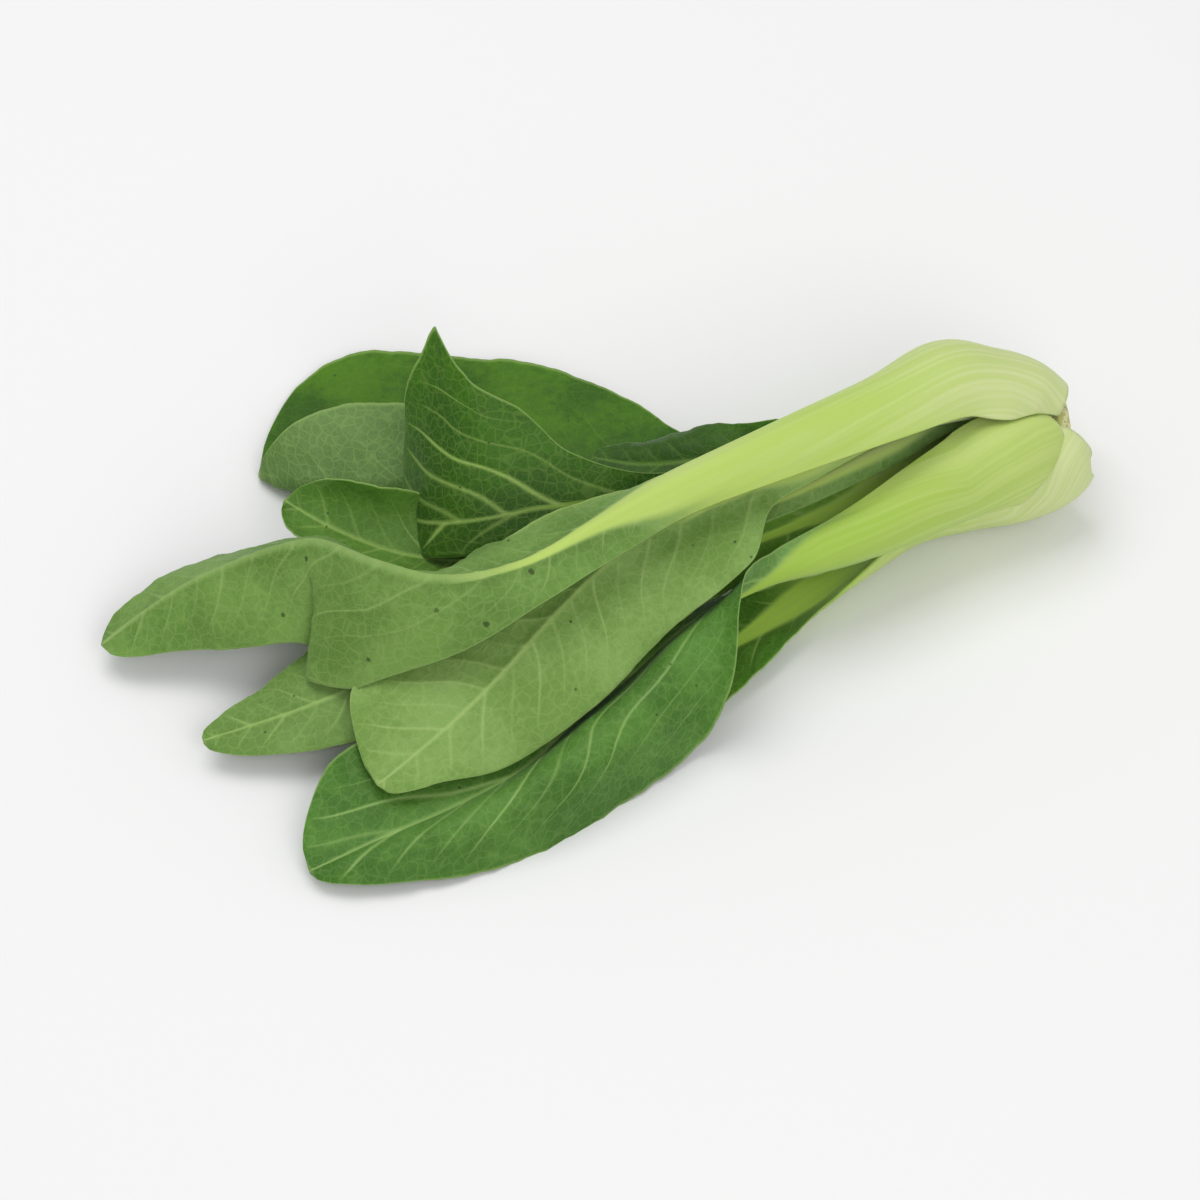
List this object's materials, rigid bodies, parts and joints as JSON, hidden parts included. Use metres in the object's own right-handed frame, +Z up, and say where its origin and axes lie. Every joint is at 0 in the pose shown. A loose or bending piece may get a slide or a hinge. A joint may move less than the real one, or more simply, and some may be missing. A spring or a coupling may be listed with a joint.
{
  "type": "bok choy",
  "caption": "Head of green-stemmed bok choy lying on its side: a cut stem plate with thick pale stalks that open into soft green leaves, some curled and folded",
  "frame": {"origin": "Centre of the footprint, on the surface it lies on", "axes": "+Z up; the head lies on its side with the cut stem toward +X and the leaf tips toward -X; the side seen first faces -Y"},
  "size_m": [0.259, 0.1764, 0.0556],
  "materials": {
    "crown": "dry cut plant tissue, matte",
    "leaf_top": "pale outer leaf, matte underside",
    "leaf_front": "satin, dark blade on a pale green stalk",
    "leaf_pale": "matte, pale underside",
    "leaf_inner": "satin",
    "leaf_upright": "satin, dark upper face",
    "leaf_back": "satin, dark upper face",
    "leaf_under": "satin",
    "leaf_left": "matte, pale underside",
    "leaf_peek": "satin",
    "leaf_curl": "satin"
  },
  "bodies": {
    "root": {"crown": "crown", "leaf_top": "leaf_top", "leaf_front": "leaf_front", "leaf_pale": "leaf_pale", "leaf_inner": "leaf_inner", "leaf_upright": "leaf_upright", "leaf_back": "leaf_back", "leaf_under": "leaf_under", "leaf_left": "leaf_left", "leaf_peek": "leaf_peek", "leaf_curl": "leaf_curl"}
  },
  "joints": []
}
